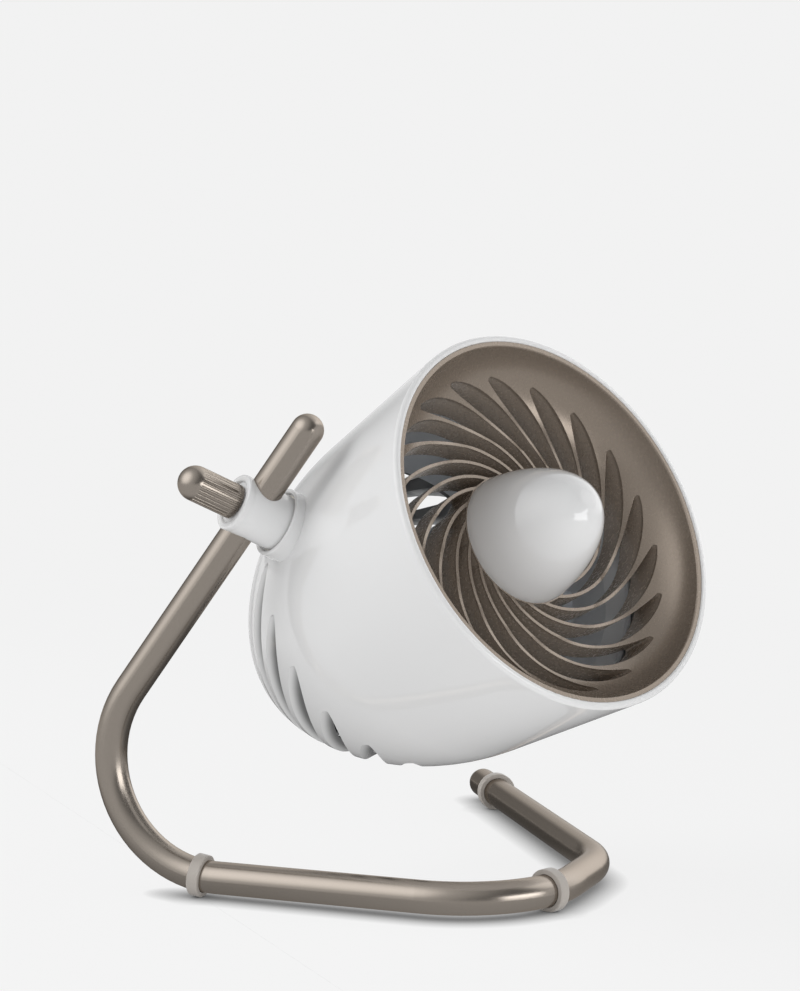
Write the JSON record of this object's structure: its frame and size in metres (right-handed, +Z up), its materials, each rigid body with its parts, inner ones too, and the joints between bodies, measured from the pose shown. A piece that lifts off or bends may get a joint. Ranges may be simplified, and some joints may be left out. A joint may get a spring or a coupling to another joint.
{
  "type": "air circulator fan",
  "caption": "Small tabletop air circulator: white bowl head with spiral grille and bullet nose, tilting on a collar that swivels round a bent-tube stand.",
  "frame": {"origin": "on the floor under the centre of the foot band at the lower end of the rod's bend", "axes": "+Z up; the front leg runs along -Y and the cross leg along +X; the fan blows towards -Y, -X and up as pictured"},
  "size_m": [0.2685, 0.2256, 0.2174],
  "materials": {
    "taupe_metal": "satin, fine brushed look, metallic taupe",
    "clear_band": "clear, slightly frosted",
    "white_gloss": "gloss white",
    "black_rubber": "matte black",
    "zinc_steel": "zinc plated",
    "natural_plastic": "natural, matte",
    "dark_plastic": "matte dark",
    "steel_shaft": "turned",
    "taupe_plastic": "satin, pearl taupe",
    "duct_plastic": "matte pale grey",
    "blade_plastic": "satin blue-grey",
    "core_steel": "stacked sheet",
    "copper_wire": "enamelled copper",
    "bronze": "sintered",
    "lead_sheath": "matte"
  },
  "bodies": {
    "stand": {"stand_tube": "taupe_metal", "foot_band_bend": "clear_band", "foot_band_front": "clear_band", "foot_band_back": "clear_band"},
    "collar": {"pivot_collar": "white_gloss", "rod_friction_rings": "black_rubber", "pivot_spindle": "zinc_steel", "friction_washer": "natural_plastic", "spring_washer": "zinc_steel", "pivot_nut": "zinc_steel", "speed_switch": "dark_plastic"},
    "knob": {"control_knob": "taupe_metal", "switch_shaft": "steel_shaft"},
    "head": {"housing": "white_gloss", "pivot_cup": "white_gloss", "cup_screws": "zinc_steel", "front_grille": "taupe_plastic", "nose_cone": "white_gloss", "nose_screws": "zinc_steel", "inner_duct": "duct_plastic", "duct_screws": "zinc_steel", "motor_mount": "zinc_steel", "mount_grommets": "black_rubber", "mount_screws": "zinc_steel", "motor_rear_cover": "zinc_steel", "motor_front_cover": "zinc_steel", "stator_core": "core_steel", "stator_coils": "copper_wire", "motor_bolts": "zinc_steel", "rear_bearing": "bronze", "front_bearing": "bronze", "cord_gland": "black_rubber", "motor_lead": "lead_sheath"},
    "fan": {"impeller": "blade_plastic", "impeller_nut": "zinc_steel", "rotor": "core_steel", "motor_shaft": "zinc_steel"}
  },
  "joints": [
    {"name": "collar_swivel", "type": "hinge", "parent": "stand", "child": "collar", "pos_m": [0, -0.02298, 0.15126], "axis": [0, 0.5934, -0.8049], "range_deg": [-45, 15]},
    {"name": "head_tilt", "type": "hinge", "parent": "collar", "child": "head", "pos_m": [0, -0.02298, 0.15126], "axis": [0.6947, -0.579, -0.4269], "range_deg": [-75, 35]},
    {"name": "knob_turn", "type": "hinge", "parent": "collar", "child": "knob", "pos_m": [-0.01389, -0.0114, 0.1598], "axis": [-0.6947, 0.579, 0.4269], "range_deg": [0, 90]},
    {"name": "impeller_spin", "type": "hinge", "parent": "head", "child": "fan", "pos_m": [0.05936, -0.07246, 0.11479], "axis": [-0.3949, -0.803, 0.4464], "continuous": true}
  ]
}
